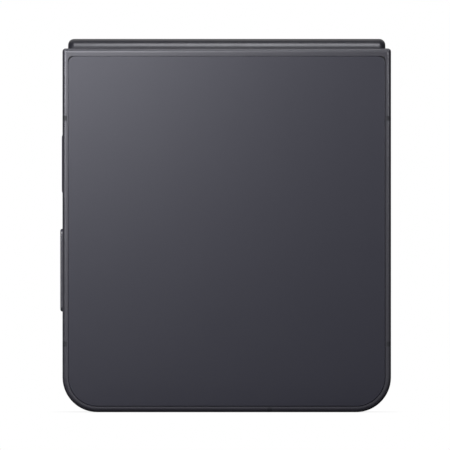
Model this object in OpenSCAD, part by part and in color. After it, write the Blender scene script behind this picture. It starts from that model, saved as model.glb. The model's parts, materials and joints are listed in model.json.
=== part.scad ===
// Foldable clamshell phone, standing folded on its short edge with the hinge on top.
// X is the width, Z runs up to the hinge and Y is the thickness. The plain half lies at -Y and
// the camera half at +Y. The origin is the middle of the bottom edge. Millimetres.
// Pieces of both halves are drawn on the -Y side, and the camera half mirrors them.
// "Depth" is the distance from a half's inner face, where the main screen is, to its back glass.

/* [Folded body] */
// Width across the two side walls
body_w = 75.2; // [73:0.1:80]
// Height of each half from its bottom edge to its hinge end
half_h = 83.25; // [82:0.05:90]
// Thickness of each half from its inner face to its back glass
half_t = 6.5; // [6.45:0.05:7.2]
// Gap between the inner faces of the two halves when folded
fold_gap = 0.7; // [0.66:0.02:0.9]
// Radius of the two corners far from the hinge
corner_r = 8; // [6.5:0.1:10]
// Radius of the two corners at the hinge
hinge_corner_r = 0.75; // [0.3:0.05:1]

/* [Frames] */
// Thickness of the side and bottom walls
wall = 1.6; // [1.5:0.05:1.8]
// Width of the rim beside the main screen
screen_rim_w = 1.9; // [1.85:0.05:2.1]
// Width of the metal rim beside the back glass
back_rim_w = 1.27; // [1.1:0.01:1.5]
// Width of the metal strip between the back glass and the hinge end
strip_w = 1.77; // [1.7:0.01:2.1]
// Rounding of the outer edge beside the back glass
back_edge_r = 0.9; // [0.4:0.05:1.05]
// Rounding of the outer edge at the inner face
inner_edge_r = 0.35; // [0.15:0.05:0.5]
// Rounding of the lip's edge at the hinge end
end_edge_r = 0.9; // [0.2:0.05:1]
// Thickness of the middle plate that stiffens the frame
midplate_t = 0.6; // [0.5:0.05:0.7]
// Width of the ledge that carries the back glass
ledge_w = 1.3; // [1:0.05:1.5]
// Thickness of that ledge
ledge_t = 0.6; // [0.4:0.05:0.8]
// Thickness of the lip that covers the spine
lip_t = 1.2; // [1.1:0.02:1.3]
// Thickness of the wall between the hinge and the components
bulkhead_t = 0.9; // [0.6:0.05:1.1]
// Thickness of the side walls beside the spine
side_lip_t = 1.1; // [0.9:0.05:1.3]
// Thickness of the ribs beside a battery
rib_t = 0.6; // [0.4:0.05:1]
// Height of the ribs beside a battery
rib_h = 2.6; // [1:0.1:3]

/* [Antenna breaks] */
// Width of each plastic break in a frame
break_w = 1.1; // [0.6:0.05:2]
// How deep a break reaches into the wall
break_deep = 1.05; // [0.7:0.05:1.2]
// Distance of the upper side breaks from the hinge end
break_drop = 16; // [12:0.05:18]
// Height of the side breaks near the bottom
break_low = 15.6; // [12:0.05:17]
// Distance of the bottom break from the middle
break_side = 9.8; // [9:0.1:10.5]

/* [Back glass] */
// Thickness of the back glass and of the cover glass
glass_t = 0.6; // [0.4:0.05:0.8]
// Thickness of the adhesive under it
adhesive_t = 0.15; // [0.1:0.01:0.25]
// Gap between the glass and its frame
glass_gap = 0.06; // [0.03:0.01:0.12]
// Radius of the glass corners at the hinge
glass_top_r = 1; // [0.5:0.1:2]
// Width of the adhesive
adhesive_w = 1.1; // [0.7:0.05:1.2]

/* [Main screen] */
// Distance from the sides of a half to the main screen
screen_margin = 2.5; // [2.4:0.05:3.1]
// Thickness of the panel
screen_t = 0.4; // [0.3:0.05:0.5]
// Depth of the panel's face below the inner face
screen_sink = 0.1; // [0.05:0.05:0.2]
// Thickness of the metal sheet under the panel
support_t = 0.5; // [0.4:0.05:0.6]
// How far the soft bezel stands proud of the inner face
bezel_h = 0.3; // [0.2:0.01:0.32]
// Distance from the outline to the bezel
bezel_inset = 0.9; // [0.6:0.05:1]
// Width of the bezel
bezel_w = 2.1; // [1.8:0.05:2.3]
// Distance from the hinge axes to the rigid part of the screen
fold_reach = 5.15; // [5.1:0.05:5.6]
// Radius of the folded screen at the middle of its thickness
fold_r = 1.8; // [1.6:0.05:1.82]
// How far the centre of the folded screen lies below the hinge axes
fold_drop = 1.35; // [1.33:0.01:1.5]

/* [Hinge] */
// Distance of each hinge axis from the plane between the halves
axis_offset = 1.65; // [1.6:0.01:1.7]
// Half of the gap left between the frames when open
end_clear = 0.05; // [0.03:0.01:0.1]
// Clearance between the spine and the frames around it
spine_clear = 0.15; // [0.1:0.01:0.2]
// Thickness of the spine cover
spine_wall = 0.65; // [0.6:0.01:0.68]
// Thickness of the end caps of the spine cover
cap_t = 1.1; // [0.8:0.05:1.15]
// How far the spine cover reaches below the hinge axes
spine_skirt = 0.3; // [0.2:0.05:0.4]
// Radius of the spine cover's corners, seen from the front
spine_corner_r = 1.4; // [0.6:0.1:2]
// Distance from the sides of the body to the middle of each hinge module
module_margin = 11.6; // [10.1:0.1:15.6]
// Inner radius of the arms' arc tongues
tongue_in = 1.85; // [1.83:0.01:1.9]
// Outer radius of the tongues
tongue_out = 2.5; // [2.4:0.01:2.55]
// Radial clearance of a tongue in its track
track_clear = 0.06; // [0.03:0.01:0.08]
// Length of a tongue along the hinge
tongue_w = 4; // [3:0.1:5]
// Thickness of the webs that carry the gear sectors
web_t = 0.8; // [0.6:0.05:1]
// Thickness of the closed end of each bracket
cheek_t = 0.8; // [0.5:0.05:1.2]
// Thickness of the arms' plates
arm_t = 0.6; // [0.5:0.05:0.7]
// Height of the arms' plates
arm_h = 9; // [7:0.1:9.5]

/* [Gears] */
// Module of the synchronising gears
gear_module = 0.2; // [0.19:0.005:0.205]
// Pressure angle of the teeth
pressure_angle = 25; // [22:0.5:26]
// Teeth on a full turn of the arms' gear sectors
sector_teeth = 9; // [9:1:9]
// Teeth of the gears beside the arms
outer_teeth = 10; // [10:1:10]
// Teeth of the two gears in the middle
inner_teeth = 8; // [8:1:8]
// Width of the gears
gear_w = 1.5; // [1:0.1:1.8]
// Gap left on each flank of a tooth
flank_gap = 0.012; // [0.008:0.001:0.02]
// Radius of the gear pins
pin_r = 0.22; // [0.15:0.01:0.24]
// Radial clearance of a gear on its pin
pin_clear = 0.03; // [0.02:0.01:0.05]

/* [Keys and tray] */
// Distance from the hinge end to the short key's lower end
side_key_drop = 33.1; // [31.3:0.05:35.2]
// Length of the short key
side_key_len = 13.42; // [10:0.01:15]
// How far the short key stands out
side_key_out = 0.27; // [0.15:0.01:0.35]
// Height of the long key's middle, as a share of the half's height
volume_key_share = 0.39; // [0.37:0.005:0.4]
// Length of the long key
volume_key_len = 19; // [16:0.1:22]
// How far the long key stands out
volume_key_out = 0.62; // [0.3:0.01:0.9]
// Thickness of the keys
key_t = 2.3; // [1.6:0.1:2.6]
// Gap around a key in the frame
key_gap = 0.1; // [0.08:0.01:0.15]
// Travel of the short key
key_travel = 0.25; // [0.15:0.01:0.27]
// Height of the tray's middle
tray_z = 26; // [25:0.1:30]
// Length of the tray's face
tray_len = 13.4; // [12.8:0.1:15]
// Thickness of the tray's face
tray_face_t = 1.9; // [1.6:0.1:2.2]
// How far the tray reaches into the body
tray_deep = 16; // [14:0.1:17]

/* [Port and speaker] */
// Width of the port's metal shell
port_w = 8.94; // [8.94:0.01:9.2]
// Thickness of the port's metal shell
port_t = 3.16; // [3.16:0.01:3.2]
// Wall of the shell
port_wall = 0.3; // [0.2:0.01:0.3]
// Length of the shell
port_len = 6.8; // [6:0.1:7.3]
// Radius of each loudspeaker hole
speaker_hole_r = 0.55; // [0.4:0.05:0.7]
// Distance between loudspeaker holes
speaker_pitch = 2.3; // [1.8:0.1:2.5]
// Number of loudspeaker holes
speaker_holes = 6; // [4:1:7]
// Radius of the microphone holes
mic_hole_r = 0.4; // [0.25:0.05:0.6]

/* [Cameras] */
// Distance of the outer camera from the side of the body
camera_margin = 11; // [10.6:0.1:12.6]
// Distance between the two cameras
camera_pitch = 13.2; // [12.6:0.1:14]
// Height of the cameras
camera_z = 12.8; // [12:0.1:14]
// Radius of each camera ring
ring_r = 5.7; // [5.2:0.1:6]
// How far the rings stand proud of the cover glass
ring_h = 0.7; // [0.4:0.05:0.9]
// Radius of each camera's barrel
barrel_r = 4.2; // [3.8:0.1:4.3]
// Radius of the flash
flash_r = 1.8; // [1.2:0.1:2.2]
// Height of the front camera above the bottom edge of the folded half
front_camera_z = 6.2; // [5.8:0.1:7]
// Radius of its hole in the main screen
front_hole_r = 1.75; // [1.4:0.05:2]

/* [Inner pieces] */
// Distance from the cover screen to the hinge edge of the cover glass
cover_margin = 2.7; // [2.6:0.05:4]
// Height of the sub board's upper edge
lower_board_top = 21.8; // [20.8:0.1:23]
// Height of the main board's upper edge
upper_board_top = 32.6; // [32:0.1:35]
// Room between a rib and the board or the arms beside it
rib_room = 1; // [0.5:0.1:2]
// Gap between a rib and its battery
battery_gap = 0.4; // [0.2:0.05:0.8]
// Distance from the sides of the body to the batteries
battery_margin = 6.6; // [6.1:0.1:12]
// Thickness of the battery in the plain half
lower_battery_t = 3.3; // [2.8:0.1:3.4]
// Thickness of the battery in the camera half
upper_battery_t = 3.2; // [2.8:0.1:3.4]
// Thickness of the circuit boards
board_t = 0.8; // [0.6:0.1:0.9]
// Distance from the charging coil to the ends of its battery
coil_margin = 1.9; // [1:0.1:4]
// Number of turns of the charging coil
coil_turns = 12; // [6:1:14]
// Radius of a screw's shank
screw_r = 0.5; // [0.4:0.05:0.6]
// Radius of a screw's head
screw_head_r = 0.95; // [0.8:0.05:1.1]
// Height of a screw's head
screw_head_h = 0.3; // [0.2:0.05:0.4]
// Gap between neighbouring inner pieces
fit_gap = 0.05; // [0.03:0.01:0.08]

/* [Hidden] */
$fn = 72;

// Places worked out from the sizes above.
half_gap = fold_gap / 2;
hinge_z = half_h - axis_offset + end_clear;
back_y = half_gap + half_t;
cavity_r = back_y - lip_t - axis_offset;
spine_r = cavity_r - spine_clear;
spine_inner_r = spine_r - spine_wall;
cavity_x = body_w / 2 - side_lip_t;
spine_x = cavity_x - spine_clear;
glass_top = half_h - strip_w;
glass_seat = half_t - glass_t - adhesive_t;
mid_front = screen_sink + screen_t + support_t;
mid_back = mid_front + midplate_t;
rigid_top = hinge_z - fold_reach;
fold_z = hinge_z - fold_drop;
middle_depth = half_t / 2;
board_stand = 0.3;
board_front = mid_back + board_stand;
board_back = board_front + board_t;
module_x = body_w / 2 - module_margin;
break_high = half_h - break_drop;
side_key_z = half_h - side_key_drop;
volume_key_z = volume_key_share * half_h - volume_key_len / 2;
past = 1;
sharp = 0.01;

metal_dark = "#3f4249";
metal_mid = "#54575f";
glass_dark = "#4a4e57";
black = "#17181b";
plastic_dark = "#2f3136";
steel = "#9b9da1";
copper = "#b06f3f";
board_green = "#1f3d33";
foil = "#6f7176";
battery_black = "#202226";
ferrite_grey = "#2b2c2f";
flash_white = "#e8e2cf";

// ---- Helpers ----

// Extrudes a (y, z) outline from x0 to x1.
module across(x0, x1) {
    translate([x0, 0, 0])
        rotate([90, 0, 90])
            linear_extrude(x1 - x0) children();
}

// Extrudes an (x, z) outline from depth d0 to depth d1 of the plain half.
module layer(d0, d1) {
    translate([0, -half_gap - d0, 0])
        rotate([90, 0, 0])
            linear_extrude(d1 - d0) children();
}

// Turns a solid of revolution about Z so that it points out of the back at (x, z).
module out_of_back(x, z, depth) {
    translate([x, -half_gap - depth, z])
        rotate([90, 0, 0]) children();
}

module camera_side() {
    mirror([0, 1, 0]) children();
}

// What a rounding takes off a corner at the origin whose sides run along +x and +y.
module corner_cut(r) {
    difference() {
        translate([-past, -past]) square(r + past);
        translate([r, r]) circle(r);
    }
}

module round_rect(x0, x1, z0, z1, r) {
    difference() {
        translate([x0, z0]) square([x1 - x0, z1 - z0]);
        translate([x0, z0]) corner_cut(r);
        translate([x0, z1]) mirror([0, 1]) corner_cut(r);
        translate([x1, z0]) mirror([1, 0]) corner_cut(r);
        translate([x1, z1]) rotate(180) corner_cut(r);
    }
}

// A slot with round ends, centred on the origin, long along x.
module slot_shape(length, width) {
    square([length - width, width], center = true);
    for (side = [-1, 1])
        translate([side * (length - width) / 2, 0]) circle(width / 2);
}

// The outline of a half, drawn in by inset, up to height top.
module half_plate(inset, top, top_r) {
    reach = body_w / 2 - inset;
    difference() {
        translate([-reach, inset]) square([2 * reach, top - inset]);
        for (side = [0, 1])
            mirror([side, 0]) {
                translate([-reach, inset]) corner_cut(corner_r - inset);
                translate([-reach, top]) mirror([0, 1]) corner_cut(top_r);
            }
    }
}

module place_at_axis() {
    translate([-axis_offset, hinge_z]) children();
}

// ---- Frames ----

// Section of the wall: x runs inwards from the outline as negative values, y is the distance
// from the plane between the halves.
module wall_section() {
    seat = half_gap + glass_seat;
    difference() {
        polygon([
            [0, half_gap], [0, back_y],
            [-back_rim_w, back_y], [-back_rim_w, seat],
            [-back_rim_w - ledge_w, seat], [-back_rim_w - ledge_w, seat - ledge_t],
            [-wall, seat - ledge_t], [-wall, half_gap + mid_back],
            [-screen_rim_w, half_gap + mid_back], [-screen_rim_w, half_gap]
        ]);
        translate([0, half_gap]) mirror([1, 0]) corner_cut(inner_edge_r);
        translate([0, back_y]) rotate(180) corner_cut(back_edge_r);
    }
}

module wall_run(length) {
    mirror([0, 1, 0]) linear_extrude(length) wall_section();
}

module wall_ring() {
    for (side = [0, 1])
        mirror([side, 0, 0]) {
            translate([body_w / 2, 0, corner_r]) wall_run(half_h - corner_r);
            translate([body_w / 2 - corner_r, 0, corner_r])
                rotate([90, 0, 0])
                    rotate([0, 0, 270])
                        rotate_extrude(angle = 90)
                            translate([corner_r, 0]) wall_section();
        }
    translate([corner_r - body_w / 2, 0, 0])
        rotate([0, 90, 0]) wall_run(body_w - 2 * corner_r);
}

// Section of the bulkhead and of the lip that covers the spine.
module hinge_end_section() {
    difference() {
        union() {
            intersection() {
                place_at_axis() circle(cavity_r + bulkhead_t);
                translate([-back_y, hinge_z - cavity_r - bulkhead_t])
                    square([back_y - half_gap - mid_front, cavity_r + bulkhead_t]);
            }
            translate([-back_y, hinge_z - 2 * lip_t])
                square([lip_t, half_h - hinge_z + 2 * lip_t]);
        }
        translate([-back_y - past, hinge_z - 2 * cavity_r])
            square([past + glass_t + adhesive_t, glass_top + glass_gap - hinge_z + 2 * cavity_r]);
    }
}

// Rounds the corners of the glass pocket beside the hinge, to follow the glass.
module pocket_corners() {
    r = glass_top_r + glass_gap;
    layer(glass_seat, half_t)
        for (side = [0, 1])
            mirror([side, 0])
                translate([back_rim_w - body_w / 2, glass_top + glass_gap])
                    mirror([0, 1])
                        intersection() {
                            corner_cut(r);
                            translate([-pocket_root, -pocket_root]) square(r + pocket_root);
                        }
}

// How far the rounded corners reach into the rim around the pocket.
pocket_root = 0.2;

// The room in a half for the spine, swept about the half's hinge axis.
module hinge_room() {
    across(-cavity_x, cavity_x) {
        place_at_axis() circle(cavity_r);
        translate([lip_t - back_y, hinge_z]) square([back_y, cavity_r]);
    }
    across(-body_w, body_w) {
        difference() {
            translate([-axis_offset, hinge_z]) square([2 * axis_offset, 2 * axis_offset]);
            place_at_axis() circle(axis_offset - end_clear);
        }
        translate([-back_y, half_h]) mirror([0, 1]) corner_cut(end_edge_r);
    }
    layer(-past, half_t + past)
        for (side = [0, 1])
            mirror([side, 0])
                translate([body_w / 2, half_h]) rotate(180) corner_cut(hinge_corner_r);
}

// Boxes where the antenna breaks cross the wall, short of its inner side.
module break_boxes() {
    tall = back_y + 2 * past;
    for (side = [0, 1], z = [break_low, break_high])
        mirror([side, 0, 0])
            translate([body_w / 2 - break_deep, -tall, z - break_w / 2])
                cube([break_deep + past, tall, break_w]);
    translate([break_side - break_w / 2, -tall, -past])
        cube([break_w, tall, break_deep + past]);
}

module antenna_breaks() {
    color(plastic_dark)
        intersection() {
            wall_ring();
            break_boxes();
        }
}

// Repeats its children at both hinge modules, on the side of each that a half's arms work on:
// 1 for the outer side and -1 for the inner.
module at_modules(side) {
    for (hand = [-1, 1])
        translate([hand * module_x, 0, 0])
            mirror([side < 0 ? 1 : 0, 0, 0]) children();
}

// The arms pass the bulkhead through these slots.
module arm_slots(side) {
    at_modules(side)
        translate([arm_x0() - fit_gap, neck_y - arm_t - fit_gap, hinge_z - cavity_r - 2 * bulkhead_t])
            cube([arm_span() + 2 * fit_gap, arm_t + fit_gap, 3 * bulkhead_t]);
}

// Holes in the middle plate for the screws of a half.
module screw_holes(spots) {
    for (spot = spots)
        translate([spot[0], spot[1]]) circle(screw_r + fit_gap);
}

module frame_body(side, spots, boss_spots, rib_heights) {
    difference() {
        union() {
            wall_ring();
            layer(mid_front, mid_back) half_plate(wall, hinge_z, screen_rim_w);
            across(back_edge_r - body_w / 2, body_w / 2 - back_edge_r) hinge_end_section();
            pocket_corners();
            layer(mid_back, mid_back + rib_h)
                for (z = rib_heights)
                    translate([-battery_reach, z]) square([2 * battery_reach, rib_t]);
            layer(mid_back, board_front)
                for (spot = boss_spots)
                    translate([spot[0], spot[1]]) circle(screw_head_r);
        }
        hinge_room();
        break_boxes();
        arm_slots(side);
        layer(mid_front - past, board_front + past) screw_holes(concat(spots, boss_spots));
    }
}

// ---- Arms of the hinge ----

// The plain half's arms work on the outer side of each module, the other half's on the inner.
function arm_x0() = gear_w / 2 + fit_gap;
function arm_span() = web_t + tongue_w;
function arm_spots(side) =
    [for (hand = [-1, 1], z = [arm_screw_edge, arm_h - 2 * arm_screw_edge])
        [hand * module_x + side * (arm_x0() + arm_span() / 2), plate_low + z]];
arm_screw_edge = 1.5;
plate_low = hinge_z - cavity_r - arm_h;

// The gap that an arm leaves for the folded screen.
module fold_room() {
    translate([0, fold_z]) circle(fold_r + screen_t / 2 + track_clear);
}

// The part between two directions, given in degrees, of a disc about the hinge axis.
module pie(r, from, to) {
    steps = ceil((to - from) / 45);
    polygon(concat([[0, 0]],
        [for (i = [0 : steps])
            let (a = from + (to - from) * i / steps)
            [2 * r * cos(a), 2 * r * sin(a)]]));
}

tongue_from = 128;
tongue_to = 255;
web_from = 170;
sector_from = 93;
sector_to = 233;
neck_y = -half_gap - mid_back;

module neck_section() {
    translate([neck_y - arm_t, plate_low])
        square([arm_t, hinge_z - axis_offset - plate_low]);
}

module tongue_section() {
    difference() {
        union() {
            place_at_axis()
                intersection() {
                    difference() {
                        circle(tongue_out);
                        circle(tongue_in);
                    }
                    pie(tongue_out, tongue_from, tongue_to);
                }
            difference() {
                neck_section();
                place_at_axis() circle(tongue_in);
            }
        }
        fold_room();
    }
}

module web_section() {
    difference() {
        union() {
            place_at_axis()
                intersection() {
                    circle(tongue_out);
                    pie(tongue_out, web_from, tongue_to);
                }
            neck_section();
        }
        fold_room();
    }
}

module sector_section(phase) {
    place_at_axis()
        intersection() {
            gear_shape(sector_teeth, phase);
            pie(2 * tongue_out, sector_from, sector_to);
        }
}

// One arm, drawn for the plain half. The other half's arms lie on the other side of the gears,
// with their teeth turned by half a tooth so that the two halves mesh.
module arm(hand, side) {
    x0 = arm_x0();
    phase = gear_lean + (side < 0 ? 180 / sector_teeth : 0);
    color(steel)
        difference() {
            translate([hand * module_x, 0, 0])
                mirror([side < 0 ? 1 : 0, 0, 0]) {
                    across(-gear_w / 2, x0) sector_section(phase);
                    across(x0, x0 + web_t) web_section();
                    across(x0 + web_t, x0 + web_t + tongue_w) tongue_section();
                }
            layer(mid_back - past, mid_back + arm_t + past) screw_holes(arm_spots(side));
        }
}

// ---- Gears ----

gear_lean = 118;

function pitch_r(teeth) = gear_module * teeth / 2;
function involute(a) = tan(a) * 180 / PI - a;
function half_tooth(teeth, r) =
    90 / teeth - flank_gap / pitch_r(teeth) * 180 / PI + involute(pressure_angle)
    - involute(acos(min(1, pitch_r(teeth) * cos(pressure_angle) / r)));
function polar(r, a) = [r * cos(a), r * sin(a)];

// Direction of the first tooth of a gear that meshes with another.
function mesh_phase(phase, teeth, next_teeth, towards) =
    towards + 180 + 180 / next_teeth - (phase - towards) * teeth / next_teeth;

module gear_shape(teeth, phase) {
    tip = pitch_r(teeth) + 0.8 * gear_module;
    root = pitch_r(teeth) - 1.15 * gear_module;
    start = max(root, pitch_r(teeth) * cos(pressure_angle));
    steps = 4;
    radii = [for (i = [0 : steps]) start + (tip - start) * i / steps];
    polygon([for (k = [0 : teeth - 1])
        let (a = phase + 360 * k / teeth)
        each concat(
            [polar(root, a - half_tooth(teeth, start))],
            [for (r = radii) polar(r, a - half_tooth(teeth, r))],
            [for (i = [steps : -1 : 0]) polar(radii[i], a + half_tooth(teeth, radii[i]))],
            [polar(root, a + half_tooth(teeth, start))])]);
}

outer_dist = pitch_r(sector_teeth) + pitch_r(outer_teeth);
outer_y = -axis_offset + outer_dist * cos(gear_lean);
outer_z = hinge_z + outer_dist * sin(gear_lean);
inner_y = -pitch_r(inner_teeth);
inner_z = outer_z + sqrt(pow(pitch_r(outer_teeth) + pitch_r(inner_teeth), 2) - pow(inner_y - outer_y, 2));
to_inner = atan2(inner_z - outer_z, inner_y - outer_y);
outer_phase = mesh_phase(gear_lean, sector_teeth, outer_teeth, gear_lean);
inner_phase = mesh_phase(outer_phase, outer_teeth, inner_teeth, to_inner);

module sync_gear(teeth, y, z, phase) {
    color(steel)
        for (hand = [-1, 1])
            across(hand * module_x - gear_w / 2, hand * module_x + gear_w / 2)
                translate([y, z])
                    difference() {
                        gear_shape(teeth, phase);
                        circle(pin_r + pin_clear);
                    }
}

pin_spots = [[outer_y, outer_z, -1], [inner_y, inner_z, -1], [-inner_y, inner_z, 1], [-outer_y, outer_z, 1]];
pin_hold = 2;

// Each pin is held by the bracket block that the nearest arm doesn't sweep.
module pin_rods(r, extra) {
    reach = gear_w / 2 + web_t + fit_gap + pin_hold + extra;
    for (hand = [-1, 1], spot = pin_spots)
        translate([hand * module_x, spot[0], spot[1]])
            rotate([0, spot[2] * 90, 0])
                translate([0, 0, -gear_w / 2]) cylinder(r = r, h = gear_w / 2 + reach);
}

module gear_pins() {
    color(steel) pin_rods(pin_r, 0);
}

// ---- Spine ----

module spine_outline(r, top) {
    for (side = [-1, 1])
        translate([side * axis_offset, hinge_z]) circle(r);
    translate([-axis_offset, hinge_z]) square([2 * axis_offset, top]);
}

module spine_section(r, low) {
    intersection() {
        spine_outline(r, r);
        translate([-back_y, hinge_z - low]) square([2 * back_y, 2 * back_y]);
    }
}

notch_top = -neck_y + arm_t - axis_offset + fit_gap;

// Room for the necks of the arms where the spine cover comes down beside them.
module neck_room(side, from_y) {
    at_modules(side)
        translate([arm_x0() - fit_gap, -back_y, hinge_z - 2 * axis_offset])
            cube([arm_span() + 2 * fit_gap, back_y + from_y, 2 * axis_offset + notch_top]);
}

module both_necks(from_y) {
    neck_room(1, from_y);
    camera_side() neck_room(-1, from_y);
}

module spine_cover() {
    color(metal_mid)
        difference() {
            across(-spine_x, spine_x) spine_section(spine_r, spine_skirt);
            across(cap_t - spine_x, spine_x - cap_t) spine_section(spine_inner_r, 2 * spine_skirt);
            both_necks(-axis_offset - tongue_in);
            layer(-back_y, back_y)
                for (side = [0, 1])
                    mirror([side, 0])
                        translate([spine_x, hinge_z + spine_r]) rotate(180) corner_cut(spine_corner_r);
        }
}

// One block of a bracket, with the arc track of the plain half's arm.
module bracket_block(side) {
    x0 = arm_x0() + web_t + fit_gap;
    track_end = x0 + tongue_w;
    difference() {
        across(x0, track_end + cheek_t)
            difference() {
                spine_section(spine_inner_r - fit_gap, bracket_skirt);
                translate([0, fold_z]) circle(fold_r + screen_t);
            }
        across(x0 - past, track_end) track_section();
    }
}

bracket_skirt = 0.25;
track_from = tongue_from - 90 - 4;

module track_section() {
    place_at_axis() {
        intersection() {
            difference() {
                circle(tongue_out + track_clear);
                circle(tongue_in - track_clear);
            }
            pie(2 * tongue_out, track_from, tongue_to);
        }
        translate([-back_y, -back_y]) square([back_y - tongue_in, back_y + notch_top]);
    }
}

bridge_y = 0.5;
bridge_low = fold_r + screen_t + track_clear;
bridge_high = inner_z - pitch_r(inner_teeth) - gear_module - fold_z;

module hinge_bracket(hand) {
    x0 = arm_x0() + web_t + fit_gap;
    color(metal_dark)
        difference() {
            translate([hand * module_x, 0, 0]) {
                bracket_block(1);
                rotate([0, 0, 180]) bracket_block(-1);
                across(-x0 - past, x0 + past)
                    translate([-bridge_y, fold_z + bridge_low])
                        square([2 * bridge_y, bridge_high - bridge_low]);
            }
            pin_rods(pin_r, fit_gap);
        }
}

// ---- Screens ----

// A solid as wide as the screen, up to its path beside the hinge when folded: round at the top
// and drawn in below. The straight sides end a little inside the round part, to cross it cleanly.
module fold_body(reach, r, y, foot) {
    drop = fold_z - rigid_top;
    slant = acos(r / norm([y, drop])) + atan2(y, drop);
    inside = 0.99 * r;
    across(-reach, reach)
        translate([0, fold_z]) circle(r);
    across(-reach, reach)
        translate([0, fold_z])
            polygon([
                [-y, -drop - foot], [-y, -drop],
                [-inside * sin(slant), -inside * cos(slant)],
                [inside * sin(slant), -inside * cos(slant)],
                [y, -drop], [y, -drop - foot]
            ]);
}

module main_screen_fold() {
    reach = body_w / 2 - screen_margin;
    face_y = half_gap + screen_sink;
    color(black)
        difference() {
            fold_body(reach, fold_r + screen_t / 2, face_y + screen_t, 0);
            fold_body(body_w, fold_r - screen_t / 2, face_y, past);
        }
}

module main_screen(hole_r) {
    color(black)
        layer(screen_sink, screen_sink + screen_t)
            difference() {
                half_plate(screen_margin, rigid_top, sharp);
                front_hole(hole_r);
            }
}

module front_hole(r) {
    if (r > 0)
        translate([0, front_camera_z]) circle(r);
}

module screen_support(hole_r) {
    color(steel)
        layer(screen_sink + screen_t, mid_front)
            difference() {
                half_plate(screen_margin, rigid_top - fit_gap, sharp);
                front_hole(hole_r);
            }
}

module bezel() {
    top = hinge_z - spine_skirt - spine_clear;
    color(black)
        layer(-bezel_h, 0)
            difference() {
                half_plate(bezel_inset, top, bezel_r);
                half_plate(bezel_inset + bezel_w, top + 2 * past, sharp);
            }
}

bezel_r = 0.2;

// ---- Glass ----

module back_glass(holes) {
    color(glass_dark)
        layer(half_t - glass_t, half_t)
            difference() {
                half_plate(back_rim_w + glass_gap, glass_top, glass_top_r);
                if (holes) camera_holes(ring_hole_r);
            }
}

module glass_adhesive() {
    inset = back_rim_w + glass_gap;
    color(plastic_dark)
        layer(glass_seat, glass_seat + adhesive_t)
            difference() {
                half_plate(inset, glass_top, glass_top_r);
                half_plate(inset + adhesive_w, glass_top - adhesive_w, glass_top_r);
            }
}

// ---- Plain half ----

board_screw_drop = 3.4;
top_rib = plate_low - rib_room - rib_t;
lower_ribs = [lower_board_top + rib_room, top_rib];
battery_reach = body_w / 2 - battery_margin;
battery_r = 1.5;
lower_board_spots =
    [for (side = [-1, 0, 1]) [side * battery_reach, lower_board_top - board_screw_drop]];

// A battery between two ribs.
module battery(ribs, thickness) {
    color(battery_black)
        layer(mid_back + fit_gap, mid_back + fit_gap + thickness)
            round_rect(-battery_reach, battery_reach,
                ribs[0] + rib_t + battery_gap, ribs[1] - battery_gap, battery_r);
}

module lower_frame() {
    color(metal_mid)
        difference() {
            frame_body(1, arm_spots(1), lower_board_spots, lower_ribs);
            port_hole();
            for (i = [0 : speaker_holes - 1])
                edge_hole(speaker_x + i * speaker_pitch, speaker_hole_r);
            edge_hole(-mic_x, mic_hole_r);
        }
}

speaker_x = 12.6;
mic_x = 9.6;

// A round hole up through the bottom wall.
module edge_hole(x, r) {
    translate([x, -half_gap - middle_depth, -past]) cylinder(r = r, h = wall + 2 * past);
}

module port_hole() {
    translate([0, -half_gap - middle_depth, -past])
        linear_extrude(wall + 2 * past) slot_shape(port_w + 2 * fit_gap, port_t + 2 * fit_gap);
}

module lower_battery() {
    battery(lower_ribs, lower_battery_t);
}

coil_z = (lower_ribs[0] + rib_t + lower_ribs[1]) / 2;
coil_r = (lower_ribs[1] - lower_ribs[0] - rib_t) / 2 - battery_gap - coil_margin;
coil_front = mid_back + 2 * fit_gap + lower_battery_t;
ferrite_t = 0.2;
ferrite_edge = 0.5;
wire_w = 0.55;
wire_t = 0.2;
wire_gap = 0.15;

module ferrite_sheet() {
    color(ferrite_grey)
        layer(coil_front, coil_front + ferrite_t)
            translate([0, coil_z]) circle(coil_r + ferrite_edge);
}

// Turns of flat wire, with a lead that joins them.
module charging_coil() {
    step = wire_w + wire_gap;
    front = coil_front + ferrite_t + fit_gap;
    color(copper)
        layer(front, front + wire_t)
            translate([0, coil_z]) {
                for (i = [0 : coil_turns - 1])
                    difference() {
                        circle(coil_r - i * step);
                        circle(coil_r - i * step - wire_w);
                    }
                translate([-wire_w, -coil_r]) square([2 * wire_w, coil_turns * step - wire_gap]);
            }
}

// Gap between a board's edge and what stands beside it.
board_gap = 0.4;
board_r = 1;

module sub_board() {
    color(board_green)
        layer(board_front, board_back)
            difference() {
                half_plate(wall + board_gap, lower_board_top, board_r);
                translate([-port_w / 2 - board_gap / 2, 0])
                    square([port_w + board_gap, port_mouth + port_len + 2 * board_gap]);
                translate([speaker_box_x - board_gap, 0])
                    square([body_w, speaker_box_top + board_gap]);
                translate([motor_x - board_gap, motor_z - board_gap])
                    square([motor_w + 2 * board_gap, motor_h + 2 * board_gap]);
                screw_holes(lower_board_spots);
            }
}

port_mouth = 0.25;
port_floor = 0.5;
port_tongue = [6.7, 0.7];
port_tongue_drop = 1;
port_tab = [1.2, 0.3, 3];

module usb_c_socket() {
    y = -half_gap - middle_depth;
    color(steel) {
        translate([0, y, port_mouth])
            linear_extrude(port_len)
                difference() {
                    slot_shape(port_w, port_t);
                    slot_shape(port_w - 2 * port_wall, port_t - 2 * port_wall);
                }
        translate([0, y, port_mouth + port_len - port_floor])
            linear_extrude(port_floor) slot_shape(port_w, port_t);
        translate([-port_tongue[0] / 2, y - port_tongue[1] / 2, port_mouth + port_tongue_drop])
            cube([port_tongue[0], port_tongue[1], port_len - port_tongue_drop]);
        for (side = [0, 1])
            mirror([side, 0, 0])
                translate([port_w / 2 - port_wall / 2, -half_gap - board_back - port_tab[1], port_len / 2])
                    cube(port_tab);
    }
}

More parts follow.
